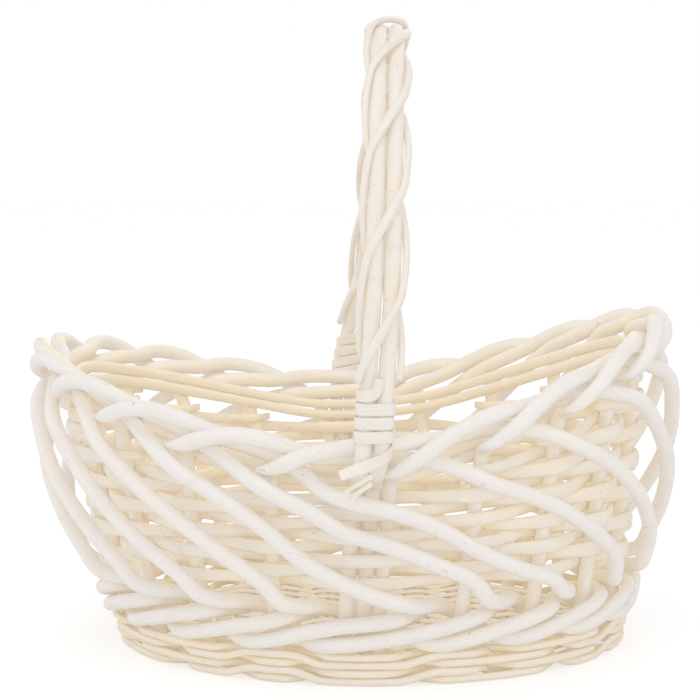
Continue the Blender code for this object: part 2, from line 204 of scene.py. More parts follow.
# Rods that slant above or below the others' line, in rod sizes at each lattice knot.
lattice_lift_shares = {
    15: (0.00, 0.25, 0.55, 0.50, 0.10),
    16: (0.40, 0.90, 0.90, 0.45, 0.00),
    17: (0.45, 0.95, 0.40, 0.00, 0.00),
    18: (-0.35, -1.00, -1.45, -1.25, -0.55),
    19: (-0.75, -0.70, -0.45, -0.20, 0.00),
    20: (-0.65, -0.45, -0.20, 0.00, 0.00),
}
end_bulge = 0.0078
crossing_share = 0.12
lift_start_stakes = 2.2
plait_flat_share = 0.96
rod_tip_share = 0.92
taper_start_stakes = 3
rod_taper_stakes = 5.5
lattice_top_drop = 3.25 * rod_size
lattice_low_height = foot_top + 3.58 * rod_size

# Flattened side weavers: halves of their sizes, and the half height as a share of the pitch.
weaver_half_thickness = 0.0017
weaver_peak_share = 0.585
weaver_crossing_share = 0.487
weaver_peak_limit = 0.0049
weaver_crossing_limit = 0.0042
taper_share = 0.72
woven_reach = stake_radius + weaver_half_thickness + gap
row_jitter = 0.00025

# Waling at the foot: each rod passes in front of two stakes and behind the third, so that
# four of the six are in front of every stake. The pattern starts anew at the near handle.
wale_row_count = 6
wale_level_count = 4
wale_turn_stakes = 3
wale_half_height = 0.0021
wale_half_thickness = 0.0017
wale_leave_share = 0.17
wale_rise_share = 0.30
wale_drop_share = 0.33
wale_behind_share = 0.85
wale_front_share = 0.97
wale_slope_share = 0.15
wale_between_share = 0.5
wale_nodes = {0: "foot_weaver_1", 2: "foot_weaver_2", 3: "foot_weaver_3", 5: "foot_weaver_4"}

# Points of a bow's leg that stand in the binding.
straight_count = 5

# Loose parts of a binding: aside in half widths, rise in turns, and layers in front of the bows.
binding_tail_shares = [
    (-1.66, -1.68, 0.0),
    (-0.95, -1.30, 0.0),
    (0.00, -0.85, 0.0),
    (0.72, -0.36, 0.0),
    (0.93, -0.13, -2.9),
]
binding_fold_shares = [
    (-0.62, 3.98, 0.1),
    (-0.22, 4.12, 0.2),
    (0.02, 4.75, 0.2),
    (0.04, 5.20, 0.1),
]
loose_end_shares = [
    [(0.02, -1.70, 0.1), (-0.45, -2.08, 0.1), (-0.95, -2.50, 0.3), (-1.40, -2.90, 0.3)],
    [(0.02, -2.22, 0.1), (-0.36, -2.58, 0.1), (-0.75, -2.96, 0.2), (-1.08, -3.28, 0.2)],
]
loose_end_half_height = 0.0014

# Painted warm shade of the basket's hollows: how much warmer willow is painted where it faces
# into the basket, where it lies deep in the wall, and along a rod, most at both ends, where it
# stands among the weavers and in the plait at the foot.
facing_shade_share = 0.35
depth_shade_share = 0.70
outer_reach = 0.016
depth_range = 0.024
rod_shade_places = [0, 0.17, 0.24, 0.8, 1]
rod_shade_shares = [0.15, 0.10, 0.02, 0.02, 0.15]

# Fineness of the swept pieces, their uneven surface and their cut ends.
rod_sides = 14
ring_spacing = 0.0024
skein_spacing = 0.0012
wave_length = 1 / 22
wave_share = 0.045
facet_share = 0.035
facet_spread = 1.3
facet_length = 1 / 9
noise_shift_limit = 50
spread_share = 0.45
press_limit = 0.4
cut_bevel_share = 0.86
cut_rise_share = 0.10
grain_radius = 0.004

# Swollen, slightly darker knots along a rod.
knot_first_range = (0.02, 0.09)
knot_step_range = (0.07, 0.19)
knot_end_room = 0.01
knot_size_range = (0.25, 1.0)
knot_swell_share = 0.03
knot_swell_length = 0.0030
knot_mark_length = 0.0014

# What all the willows share.
willow_ior = 1.45
willow_specular = 0.35
bump_distance = 0.0004
speck_colour = (0.42, 0.30, 0.19)
knot_colour = (0.55, 0.42, 0.28)
pith_light = (0.80, 0.66, 0.46)
pith_dark = (0.60, 0.45, 0.28)


def mix(a, b, share):
    return a + (b - a) * share


def rim_height(rim_angle):
    along = math.cos(rim_angle)
    end = rim_height_right if along > 0 else rim_height_left
    return mix(rim_height_middle, end, abs(along) ** rim_rise_power)


def wall_point(foot_angle, height, reach):
    """Point on the wall above a place on the foot, moved outwards by reach."""
    share = max(0.0, height) / rim_height(foot_angle + twist_angle)
    angle = foot_angle + twist_angle * share
    flare = share ** flare_power
    length = mix(foot_half_length, rim_half_length, flare)
    width = mix(foot_half_width, rim_half_width, flare)
    normal = Vector((width * math.cos(angle), length * math.sin(angle), 0)).normalized()
    centre = Vector((mix(foot_shift, rim_shift, share), 0, 0))
    on_oval = Vector((length * math.cos(angle), width * math.sin(angle), height))
    return centre + on_oval + normal * reach


def stake_angle(place, before_handle=False):
    """Angle on the foot of a place counted in stakes, where 0 and half way are at the handle."""
    step = (2 * math.pi - 2 * handle_step_extra) / stake_count
    turn, rest = divmod(place, half_count)
    whole, part = divmod(rest, 1)
    half_turn = half_count * step + handle_step_extra
    bundle = (bow_spacing + bow_to_stake) / foot_half_length
    start = first_stake_angle + turn * half_turn
    if before_handle and rest == 0:
        return start - bundle
    if whole == half_count - 1:
        return start + whole * step + part * (step + handle_step_extra - bundle)
    return start + rest * step


def rim_over(place):
    return rim_height(stake_angle(place) + twist_angle)


def at_place(place, height, reach, before_handle=False):
    return wall_point(stake_angle(place, before_handle), height, reach)


def handle_sides(place):
    """Whether a point comes before the handle, for each point that a rod has at a stake."""
    return (True, False) if place % half_count == 0 else (False,)


def handle_reach(place):
    """Extra reach of a rod past the handle's bows, which are thicker than a stake."""
    return bow_extra_reach if place % half_count == 0 else 0


def end_share(place):
    """How near a place is to the oval's ends: 0 at the handle, 1 at the ends."""
    return abs(math.cos(stake_angle(place) + twist_angle)) ** 3


def rows_over(place):
    """How many rows fit above the first one at a place: more at the raised ends."""
    along = math.cos(stake_angle(place) + twist_angle)
    extra = right_short_count if along > 0 else left_short_count
    return row_count - 1 + extra * math.sin(math.pi / 2 * abs(along)) ** short_row_power


def pitch_at(place):
    along = math.cos(stake_angle(place) + twist_angle)
    end_drop = right_top_drop if along > 0 else left_top_drop
    top = rim_over(place) - mix(weave_top_drop, end_drop, end_share(place))
    return (top - weave_first) / rows_over(place)


def row_height(place, row):
    return weave_first + row * pitch_at(place)


def smooth_line(points, values, spacing, closed=False):
    """Evenly spaced points, with their values, on a smooth curve through the given ones."""
    knots = np.array([[*p] for p in points])
    extra = np.array(values, dtype=float).reshape(len(points), -1)
    rows = np.hstack([knots, extra])
    if closed:
        rows = np.vstack([rows[-2:], rows, rows[:3]])
    chords = np.linalg.norm(np.diff(rows[:, :3], axis=0), axis=1)
    at = np.concatenate([[0], np.cumsum(chords)])
    slopes = np.gradient(rows, at, axis=0)
    first, last = (2, len(rows) - 3) if closed else (0, len(rows) - 1)
    count = max(8, int(round((at[last] - at[first]) / spacing)))
    wanted = np.linspace(at[first], at[last], count + 1)
    if closed:
        wanted = wanted[:-1]
    left = np.clip(np.searchsorted(at, wanted, side="right") - 1, 0, len(at) - 2)
    span = chords[left]
    t = ((wanted - at[left]) / span)[:, None]
    span = span[:, None]
    a, b = rows[left], rows[left + 1]
    sa, sb = slopes[left] * span, slopes[left + 1] * span
    made = (2 * t ** 3 - 3 * t ** 2 + 1) * a + (t ** 3 - 2 * t ** 2 + t) * sa
    made += (3 * t ** 2 - 2 * t ** 3) * b + (t ** 3 - t ** 2) * sb
    return made[:, :3], made[:, 3:]


def unit(rows):
    return rows / np.maximum(np.linalg.norm(rows, axis=-1, keepdims=True), 1e-12)


def oval_outwards(centres):
    """Direction away from the basket's long axis at each centre, level with the ground."""
    out = centres.copy()
    out[:, 0] = (centres[:, 0] - foot_shift / 2) * (rim_half_width / rim_half_length) ** 2
    out[:, 2] = 0
    return unit(out)


def wall_reach(points):
    """How far each point of an array lies outside the stakes' centre lines."""
    angle = np.arctan2(points[..., 1] / rim_half_width, points[..., 0] / rim_half_length)
    along = np.cos(angle)
    end = np.where(along > 0, rim_height_right, rim_height_left)
    rim = mix(rim_height_middle, end, np.abs(along) ** rim_rise_power)
    share = np.clip(points[..., 2] / rim, 0, 1)
    length = mix(foot_half_length, rim_half_length, share ** flare_power)
    width = mix(foot_half_width, rim_half_width, share ** flare_power)
    x = points[..., 0] - mix(foot_shift, rim_shift, share)
    y = points[..., 1]
    size = np.hypot(x / length, y / width)
    return np.hypot(x, y) * (1 - 1 / np.maximum(size, 0.01))


def carried(tangents, start):
    """Directions square to the tangents that turn as little as possible."""
    made = []
    side = start
    for tangent in tangents:
        side = side - tangent * float(np.dot(side, tangent))
        side = side / np.linalg.norm(side)
        made.append(side)
    return np.array(made)


def knots_along(chance, along):
    """How swollen and how dark a rod is from its knots, at each length along it."""
    swell = np.zeros(len(along))
    dark = np.zeros(len(along))
    place = chance.uniform(*knot_first_range)
    while place < along[-1] - knot_end_room:
        size = chance.uniform(*knot_size_range)
        away = along - place
        swell += knot_swell_share * size * np.exp(-(away / knot_swell_length) ** 2)
        dark += size * np.exp(-(away / knot_mark_length) ** 2)
        place += chance.uniform(*knot_step_range)
    return swell, dark


def cut_ends(verts, faces, grain, masks, rises):
    """Closes the ring that starts at each base vertex with a bevelled cut that rises from it."""
    for base, rise in rises:
        rim = verts[base:base + rod_sides]
        middle = rim.mean(0)
        bevel = middle + (rim - middle) * cut_bevel_share + rise
        start = len(verts)
        verts = np.vstack([verts, bevel])
        grain = np.vstack([grain, grain[base:base + rod_sides]])
        masks = [np.concatenate([mask, mask[base:base + rod_sides]]) for mask in masks]
        masks[2][start:] = 1.0
        made = [
            (base + j, base + (j + 1) % rod_sides, start + (j + 1) % rod_sides, start + j)
            for j in range(rod_sides)
        ]
        made.append(tuple(range(start, start + rod_sides)))
        faces += [tuple(reversed(face)) for face in made] if base == 0 else made
    return verts, grain, masks


def willow_mesh(name, verts, faces, grain, shade, material):
    mesh = bpy.data.meshes.new(name)
    mesh.from_pydata([tuple(v) for v in verts], [], faces)
    mesh.update()
    attribute = mesh.attributes.new("grain", "FLOAT_VECTOR", "POINT")
    attribute.data.foreach_set("vector", grain.astype(np.float32).ravel())
    attribute = mesh.attributes.new("willow", "FLOAT_COLOR", "POINT")
    attribute.data.foreach_set("color", shade.astype(np.float32).ravel())
    mesh.polygons.foreach_set("use_smooth", [len(face) == 4 for face in faces])
    mesh.materials.append(material)
    made = bpy.data.objects.new(name, mesh)
    bpy.context.scene.collection.objects.link(made)
    return made


def swept(name, centres, wide, high, guide, material, closed=False, seed=0, warm=0.5,
          slant=(0.0, 0.0), knots=True, rough=1.0, paint_hollow_shade=True, flat=None, low=None):
    """A willow rod along centres, wide across guide and high square to it.

    Its surface waves a little, has a few swollen knots and carries what the material reads:
    the grain's own coordinates, and how warm, how toned and how knotted each place is. How warm
    it is comes from warm, which for a rod holds painted warm shade at its ends, and, unless
    switched off, from painted warm shade where it faces into the basket and where it lies deep
    in the wall. Where flat is below 1 the rod is pressed flatter against the basket's wall, and
    where low is below 1 it is creased thinner in height.
    """
    chance = random.Random(seed)
    count = len(centres)
    if closed:
        ahead, behind = np.roll(centres, -1, 0), np.roll(centres, 1, 0)
    else:
        ahead = np.vstack([centres[1:], 2 * centres[-1:] - centres[-2:-1]])
        behind = np.vstack([2 * centres[:1] - centres[1:2], centres[:-1]])
    tangents = unit(ahead - behind)
    out = unit(guide - tangents * np.sum(guide * tangents, axis=1, keepdims=True))
    side = np.cross(tangents, out)
    steps = np.linalg.norm(centres - np.roll(centres, 1, 0), axis=1)
    steps[0] = 0
    along = np.cumsum(steps)
    swell, dark = knots_along(chance, along) if knots else np.zeros((2, count))
    shift = chance.uniform(0, noise_shift_limit)
    waves = np.array([
        noise.noise(Vector((v / wave_length + shift, 0.5, shift))) for v in along
    ])
    girth = 1 + wave_share * rough * waves + swell
    turns = np.linspace(0, 2 * math.pi, rod_sides, endpoint=False)
    cos, sin = np.cos(turns), np.sin(turns)
    offsets = (
        out[:, None] * (cos[None, :, None] * (wide * girth)[:, None, None])
        + side[:, None] * (sin[None, :, None] * (high * girth)[:, None, None])
    )
    if rough:
        around = cos * facet_spread, sin * facet_spread
        facets = np.array([
            [noise.noise(Vector((x + shift, y, v / facet_length))) for x, y in zip(*around)]
            for v in along
        ])
        offsets *= (1 + facet_share * rough * facets)[:, :, None]
    outwards = oval_outwards(centres)
    if flat is not None:
        across = (offsets * outwards[:, None]).sum(2, keepdims=True)
        pressed = outwards[:, None] * across
        spread = (1 + spread_share * (1 - flat))[:, None, None]
        offsets = (offsets - pressed) * spread + pressed * flat[:, None, None]
        offsets[:, :, 2] *= low[:, None]
    ring = centres[:, None] + offsets
    shape = (count, rod_sides)
    lanes = (cos * grain_radius, sin * grain_radius, along[:, None])
    grain = np.dstack([np.broadcast_to(lane, shape) for lane in lanes]) + shift
    # Painted warm shade: warmer where the surface faces into the basket and where it lies deep in the
    # wall, standing in for the shade of the hollows.
    inward = 0.5 - 0.5 * (unit(offsets) * outwards[:, None]).sum(2)
    depth = np.clip((outer_reach - wall_reach(ring)) / depth_range, 0, 1)
    deep = facing_shade_share * (inward - 0.5) + depth_shade_share * depth
    warmth_with_shade = np.clip(warm + deep * paint_hollow_shade, 0, 1)
    ends = [] if closed else [(0, slant[0], -tangents[0]), (count - 1, slant[1], tangents[-1])]
    for end, lean, away in ends:
        ring[end] += away[None] * (cos * lean * wide[end])[:, None]
    verts = ring.reshape(-1, 3)
    faces = []
    for i in range(count if closed else count - 1):
        a, b = i * rod_sides, ((i + 1) % count) * rod_sides
        for j in range(rod_sides):
            k = (j + 1) % rod_sides
            faces.append((a + j, a + k, b + k, b + j))
    masks = [
        warmth_with_shade.reshape(-1),
        np.broadcast_to(dark[:, None], shape).reshape(-1),
        np.zeros(count * rod_sides),
    ]
    rises = [(end * rod_sides, away * wide[end] * cut_rise_share) for end, _, away in ends]
    verts, grain, masks = cut_ends(verts, faces, grain.reshape(-1, 3), masks, rises)
    verts[:, 2] = np.maximum(verts[:, 2], 0)
    tone = np.full(len(verts), chance.random())
    shade = np.column_stack([masks[0], tone, np.clip(masks[1], 0, 1), masks[2]])
    return willow_mesh(name, verts, faces, grain, shade, material)


def part_of(piece, slot_name, *nodes):
    """Rides the piece on the one body, and stands it for the solids it replaces."""
    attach(piece, "root")
    if nodes:
        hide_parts(*nodes)


def willow_material(name, cool, warm, fibre, roughness, bump):
    material = bpy.data.materials.new(name)
    material.use_nodes = True
    nodes, links = material.node_tree.nodes, material.node_tree.links
    shader = nodes["Principled BSDF"]
    shader.inputs["Roughness"].default_value = roughness
    shader.inputs["IOR"].default_value = willow_ior
    shader.inputs["Specular IOR Level"].default_value = willow_specular
    colour_sockets = (6, 7)

    def feed(socket, value):
        if isinstance(value, bpy.types.NodeSocket):
            links.new(value, socket)
        else:
            socket.default_value = value

    def node(kind, fed, **values):
        made = nodes.new(kind)
        for key, value in values.items():
            setattr(made, key, value)
        for key, value in fed.items():
            feed(made.inputs[key], value)
        return made

    def noise_of(vector, scale, detail, rough):
        fed = {"Scale": scale, "Detail": detail, "Roughness": rough, "Vector": vector}
        return node("ShaderNodeTexNoise", fed).outputs["Fac"]

    def scaled(vector, amounts):
        return node("ShaderNodeVectorMath", {0: vector, 1: amounts}, operation="MULTIPLY").outputs[0]

    def ramp(value, low, high, to_low=0.0, to_high=1.0):
        fed = {"From Min": low, "From Max": high, "To Min": to_low, "To Max": to_high}
        return node("ShaderNodeMapRange", {**fed, "Value": value}).outputs["Result"]

    def blend(factor, first, second):
        made = node("ShaderNodeMix", {0: factor}, data_type="RGBA")
        for index, value in zip(colour_sockets, (first, second)):
            feed(made.inputs[index], (*value, 1.0) if isinstance(value, tuple) else value)
        return made.outputs[2]

    def maths(operation, first, second):
        return node("ShaderNodeMath", {0: first, 1: second}, operation=operation).outputs[0]

    grain = node("ShaderNodeAttribute", {}, attribute_name="grain").outputs["Vector"]
    willow = node("ShaderNodeAttribute", {}, attribute_name="willow")
    parts = node("ShaderNodeSeparateColor", {"Color": willow.outputs["Color"]})
    warmth_with_shade, tone, knot = parts.outputs[0], parts.outputs[1], parts.outputs[2]
    cut = willow.outputs["Alpha"]

    streak = noise_of(scaled(grain, (1, 1, 0.05)), 1400, 4, 0.6)
    fine = noise_of(scaled(grain, (1, 1, 0.10)), 3800, 3, 0.55)
    cloud = noise_of(scaled(grain, (1, 1, 0.6)), 55, 3, 0.5)
    speck = noise_of(scaled(grain, (1, 1, 0.45)), 620, 2, 0.5)

    # The warm colour serves both as the willow's own cream and, where the warmth channel carries it, as
    # painted warm shade of the hollows.
    mottled = maths("ADD", warmth_with_shade, ramp(cloud, 0.3, 0.7, -0.22, 0.22))
    mottled = maths("ADD", mottled, ramp(tone, 0.0, 1.0, -0.12, 0.12))
    body = blend(ramp(mottled, 0.0, 1.0), cool, warm)
    body = blend(maths("MULTIPLY", ramp(streak, 0.52, 0.74), 0.30), body, fibre)
    body = blend(maths("MULTIPLY", ramp(speck, 0.70, 0.76), 0.45), body, speck_colour)
    body = blend(maths("MULTIPLY", knot, 0.10), body, knot_colour)
    pith = blend(ramp(streak, 0.45, 0.6), pith_light, pith_dark)
    body = blend(maths("MULTIPLY", cut, 0.7), body, pith)
    links.new(body, shader.inputs["Base Color"])
    links.new(ramp(streak, 0.3, 0.7, roughness - 0.08, roughness + 0.10), shader.inputs["Roughness"])

    height = maths("ADD", maths("MULTIPLY", streak, 0.7), maths("MULTIPLY", fine, 0.3))
    made = node("ShaderNodeBump", {"Strength": bump, "Distance": bump_distance, "Height": height})
    links.new(made.outputs["Normal"], shader.inputs["Normal"])
    return material


# Each willow: cool outer tone, warm cream that is both the willow's own tone and painted warm shade of
# the hollows, fibre colour, roughness and bump.
rod_willow = willow_material(
    "peeled_willow", (0.87, 0.83, 0.79), (0.96, 0.86, 0.69), (0.86, 0.77, 0.64), 0.46, 0.30)
weaver_willow = willow_material(
    "woven_willow", (0.88, 0.835, 0.775), (0.96, 0.85, 0.66), (0.86, 0.76, 0.60), 0.50, 0.30)
foot_willow = willow_material(
    "fine_willow", (0.89, 0.83, 0.74), (0.94, 0.81, 0.60), (0.82, 0.69, 0.49), 0.50, 0.30)
handle_willow = willow_material(
    "bow_willow", (0.86, 0.81, 0.745), (0.90, 0.82, 0.70), (0.80, 0.71, 0.57), 0.42, 0.30)
skein_willow = willow_material(
    "split_willow", (0.86, 0.81, 0.745), (0.90, 0.82, 0.70), (0.79, 0.70, 0.56), 0.48, 0.45)


def rod_knots(own):
    level = (0.0,) * len(lattice_knot_shares)
    lifts = lattice_lift_shares.get(own + 1, level)
    for stakes, rise_share, reach_share, flat, low in border_knot_shares:
        if own % half_count == 0:
            stakes = max(0.0, stakes)
        place = own + stakes
        rise_share += lifts[0] * max(0, stakes - lift_start_stakes)
        height = rim_over(place) + rise_share * rod_size
        yield stakes, height, reach_share * rod_size, (flat, low)
    for (stakes, drop, bulge), lift in zip(lattice_knot_shares, lifts):
        place = own + stakes
        top = rim_over(place) - lattice_top_drop
        stand_off = lattice_reach + end_bulge * bulge * end_share(place)
        height = mix(top, lattice_low_height, drop) + lift * rod_size
        yield stakes, height, stand_off, (1.0, 1.0)
    for stakes, rise_share, reach_share in plait_knot_shares:
        height = foot_top + rise_share * rod_size
        yield stakes, height, reach_share * rod_size, (plait_flat_share, 1.0)


def rod_points(own):
    """Points of a whole rod, each with its radius and how flat and how low the rod lies."""
    foot_end = foot_row_first + foot_rod_radius
    uprights = 5
    points = []
    values = []
    top = rim_over(own) + border_knot_shares[0][1] * rod_size
    for step in range(uprights):
        points.append(at_place(own, mix(foot_end, top, step / uprights), 0))
        values.append((stake_radius, 1.0, 1.0))
    knots = list(rod_knots(own))
    for index, (stakes, height, reach, pressed) in enumerate(knots):
        tapered = max(0, (stakes - taper_start_stakes) / rod_taper_stakes)
        taper = mix(1.0, rod_tip_share, tapered)
        radius = stake_radius if index < 2 else rod_radius * taper
        place = own + stakes
        if stakes >= 1 and place % half_count == 0:
            before, after = knots[index - 1], knots[index + 1]
            share = crossing_share / (stakes - before[0])
            first = mix(height, before[1], share)
            points.append(at_place(place, first, reach, before_handle=True))
            values.append((radius, *pressed))
            share = crossing_share / (after[0] - stakes)
            height = mix(height, after[1], share)
        points.append(at_place(place, height, reach))
        values.append((radius, *pressed))
    return points, values


def make_rods():
    for own in range(stake_count):
        points, values = rod_points(own)
        centres, sizes = smooth_line(points, values, ring_spacing)
        radius, flat, low = sizes[:, 0], *np.clip(sizes[:, 1:], press_limit, 1.0).T
        tangents = unit(np.gradient(centres, axis=0))
        guide = carried(tangents, oval_outwards(centres[:1])[0])
        reached = np.linspace(0, 1, len(centres))
        # Painted warm shade along the rod: warmer at both ends, where it stands among the weavers and
        # in the plait at the foot.
        warm = np.interp(reached, rod_shade_places, rod_shade_shares)
        node = f"stake_rod_{own + 1:02d}"
        piece = swept(f"{node}_willow", centres, radius, radius, guide, rod_willow,
                      seed=100 + own, warm=warm[:, None], slant=(0.0, 0.8), flat=flat, low=low)
        part_of(piece, "peeled_willow_rod", node)


def weaver_sizes(place, at_stake, chance):
    """Half thickness and half height of a side weaver: tallest where it passes a stake."""
    pitch = pitch_at(place)
    if at_stake:
        tall = min(weaver_peak_limit, weaver_peak_share * pitch)
    else:
        tall = min(weaver_crossing_limit, weaver_crossing_share * pitch)
    return weaver_half_thickness, tall * chance.uniform(0.93, 1.0)


def woven_line(first, last, row, closed, seed):
    """Points and sizes of a weaver past the stakes, in front of and behind them in turn."""
    chance = random.Random(seed)
    tail_stakes = 0.25
    tail_share = 0.4
    points = []
    values = []

    def add(place, reach, at_stake, before_handle=False):
        height = row_height(place, row) + chance.uniform(-1, 1) * row_jitter
        points.append(at_place(place, height, reach, before_handle))
        thin, tall = weaver_sizes(place, at_stake, chance)
        tapered = not closed and not first < place < last
        values.append((thin, tall * (taper_share if tapered else 1)))

    def side_at(place):
        return 1 if (place + row) % 2 == 0 else -1

    if not closed:
        add(first - tail_stakes, -tail_share * side_at(first) * woven_reach, False)
    for place in range(first, last + (0 if closed else 1)):
        for before_handle in handle_sides(place):
            add(place, side_at(place) * (woven_reach + handle_reach(place)), True, before_handle)
        if closed or place < last:
            add(place + 0.5, 0, False)
    if not closed:
        add(last + tail_stakes, -tail_share * side_at(last) * woven_reach, False)
    return points, values


def weaver(name, points, values, closed, seed, warm, *nodes, slot_name="willow_weaver",
           material=weaver_willow):
    centres, sizes = smooth_line(points, values, ring_spacing, closed)
    piece = swept(name, centres, sizes[:, 0], sizes[:, 1], oval_outwards(centres), material,
                  closed=closed, seed=seed, warm=warm, slant=(0.6, 0.6))
    part_of(piece, slot_name, *nodes)


def make_side_rows():
    for row in range(row_count):
        points, values = woven_line(0, stake_count, row, True, 600 + row)
        node = f"side_weaver_{row + 1}"
        weaver(f"{node}_willow", points, values, True, 200 + row, 0.10, node)


def span_round(middle_place, fits):
    """First and last stake of a row that runs both ways from a place while it fits."""
    first = last = middle_place
    while fits(first - 1):
        first -= 1
    while fits(last + 1):
        last += 1
    return first, last


def make_short_rows():
    fit_share = 1.08
    spare_rows = 0.7
    ends = [("right", right_place, right_short_count), ("left", left_place, left_short_count)]
    for side, middle_place, count in ends:
        for extra in range(count):
            row = row_count + extra

            def fits(place):
                return row <= fit_share * rows_over(place) - spare_rows

            first, last = span_round(middle_place, fits)
            points, values = woven_line(first, last, row, False, 640 + row + middle_place)
            node = f"{side}_short_weaver_{extra + 1}"
            seed = 240 + extra + middle_place
            weaver(f"{node}_willow", points, values, False, seed, 0.10, node)


def make_end_rows():
    """Short rows that fill the ends up to the folds, where the raised rim leaves room."""
    room_share = 2.42
    tail_stakes = 0.35
    tail_share = -0.1
    between_share = 0.25
    ends = [
        ("right", right_place, right_short_count),
        ("left", left_place, left_short_count),
        ("left", left_place, left_short_count + 1),
    ]
    for side, middle_place, extra in ends:
        row = row_count + extra

        def fits(place):
            half_height = min(weaver_peak_limit, weaver_peak_share * pitch_at(place))
            return row_height(place, row) + half_height < rim_over(place) - room_share * rod_size

        first, last = span_round(middle_place, fits)
        if not fits(middle_place) or last == first:
            continue
        chance = random.Random(660 + row + middle_place)
        points = []
        values = []
        halves = 2 * (last - first) + 1
        for index in range(halves + 2):
            place = first + (index - 1) / 2
            at_stake = index % 2 == 1
            place = min(max(place, first - tail_stakes), last + tail_stakes)
            share = 1 if at_stake else tail_share if index in (0, halves + 1) else between_share
            points.append(at_place(place, row_height(place, row), share * woven_reach))
            values.append(weaver_sizes(place, at_stake, chance))
        seed = 260 + extra + middle_place
        weaver(f"{side}_end_row_{extra + 1}_willow", points, values, False, seed, 0.10)


def make_top_rows():
    """Rows inside the stakes, close under the border where the stakes fold outwards."""
    half_thickness, half_height = 0.0018, 0.0028
    reach = -(stake_radius + half_thickness + gap)
    slope_share = 1.3
    jitter = 0.0003
    smallest = 2 * weaver_radius + gap
    for row in range(top_row_count):
        chance = random.Random(690 + row)
        points = []
        values = []
        for place in range(stake_count):
            pitch = smallest * mix(1, slope_share, end_share(place) ** 0.3)
            drop = top_row_drop + (top_row_count - 1 - row) * pitch
            height = rim_over(place) - drop + chance.uniform(-1, 1) * jitter
            size = (half_thickness, half_height * pitch / smallest * chance.uniform(0.9, 1.0))
            for before_handle in handle_sides(place):
                points.append(at_place(place, height, reach, before_handle))
                values.append(size)
        node = f"top_weaver_{row + 1}"
        weaver(f"{node}_willow", points, values, True, 270 + row, 0.0, node)


def wale_behind(place, row):
    return (place % stake_count + row) % wale_turn_stakes == 0


def wale_height(row, rows):
    """Height of a rod that shares the foot's levels with the other rows at a place."""
    pitch = (foot_top - 2 * wale_half_height) / (wale_level_count - 1)
    share = sorted(rows).index(row) / (len(rows) - 1) * (wale_level_count - 1)
    return wale_half_height + share * pitch


def make_foot_rows():
    """Waling: rods rise as they pass in front, and leave in time for the next one below."""
    rows = range(wale_row_count)
    reach = foot_row_reach - gap
    for row in rows:
        chance = random.Random(700 + row)
        points = []
        values = []

        def add(place, height, side, before_handle=False):
            stand_off = side * (reach + handle_reach(place))
            points.append(at_place(place, height, stand_off, before_handle))
            thin = wale_half_thickness * chance.uniform(0.90, 1.0)
            values.append((thin, wale_half_height * chance.uniform(0.92, 1.0)))

        for place in range(stake_count):
            behind, next_behind = wale_behind(place, row), wale_behind(place + 1, row)
            alike = [other for other in rows if wale_behind(place, other) == behind]
            alike_next = [other for other in rows if wale_behind(place + 1, other) == next_behind]
            height, next_height = wale_height(row, alike), wale_height(row, alike_next)
            side = -wale_behind_share if behind else 1
            for before_handle in handle_sides(place):
                add(place, height, side, before_handle)
            if behind == next_behind:
                add(place + wale_rise_share, height, 1)
                add(place + 1 - wale_rise_share, next_height, 1)
                continue
            passing = [
                other for other in rows
                if wale_behind(place, other) != wale_behind(place + 1, other)
            ]
            crossing = wale_height(row, passing)
            if not behind:
                add(place + wale_leave_share, height, wale_front_share)
                lowered = mix(height, crossing, wale_slope_share)
                add(place + wale_drop_share, lowered, wale_between_share)
            add(place + 0.5, crossing, 0)
            if not next_behind:
                lowered = mix(next_height, crossing, wale_slope_share)
                add(place + 1 - wale_drop_share, lowered, wale_between_share)
                add(place + 1 - wale_leave_share, next_height, wale_front_share)
        nodes = [wale_nodes[row]] if row in wale_nodes else []
        weaver(f"foot_wale_{row + 1}_willow", points, values, True, 280 + row, 0.30, *nodes,
               slot_name="fine_foot_willow", material=foot_willow)


def beside_stake(place, height, reach, distance):
    angle = stake_angle(place)
    at_stake = wall_point(angle, height, reach)
    normal = wall_point(angle, height, reach + rod_size) - at_stake
    along = Vector((0, 0, 1)).cross(normal).normalized()
    return at_stake - along * distance


def bow_leg(place, from_stake, rim_lean, binding_lean):
    """Points of one leg of a bow; the last straight_count of them stand in the binding."""
    knot_shares = [(-2.90, 0.00, 0.0), (-2.20, 0.66, 0.2), (-1.60, 1.45, 0.5), (-1.05, 2.02, 0.8)]
    binding_start_share = -0.55
    rim = rim_over(place)
    low = foot_top + 2 * gap
    upright_end = rim - bow_upright_drop
    uprights = 3
    points = []
    for index in range(uprights + 1):
        height = mix(low, upright_end, index / uprights)
        points.append(beside_stake(place, height, 0, from_stake))
    for rise_share, reach_share, lean_share in knot_shares:
        height = rim + rise_share * rod_size
        knot = beside_stake(place, height, reach_share * rod_size, from_stake)
        points.append(knot + Vector((lean_share * rim_lean, 0, 0)))
    start = beside_stake(place, rim + binding_start_share * rod_size, bow_stand_off, from_stake)
    for index in range(straight_count):
        share = index / (straight_count - 1)
        points.append(start + Vector((mix(rim_lean, binding_lean, share), 0, share * binding_rise)))
    return points


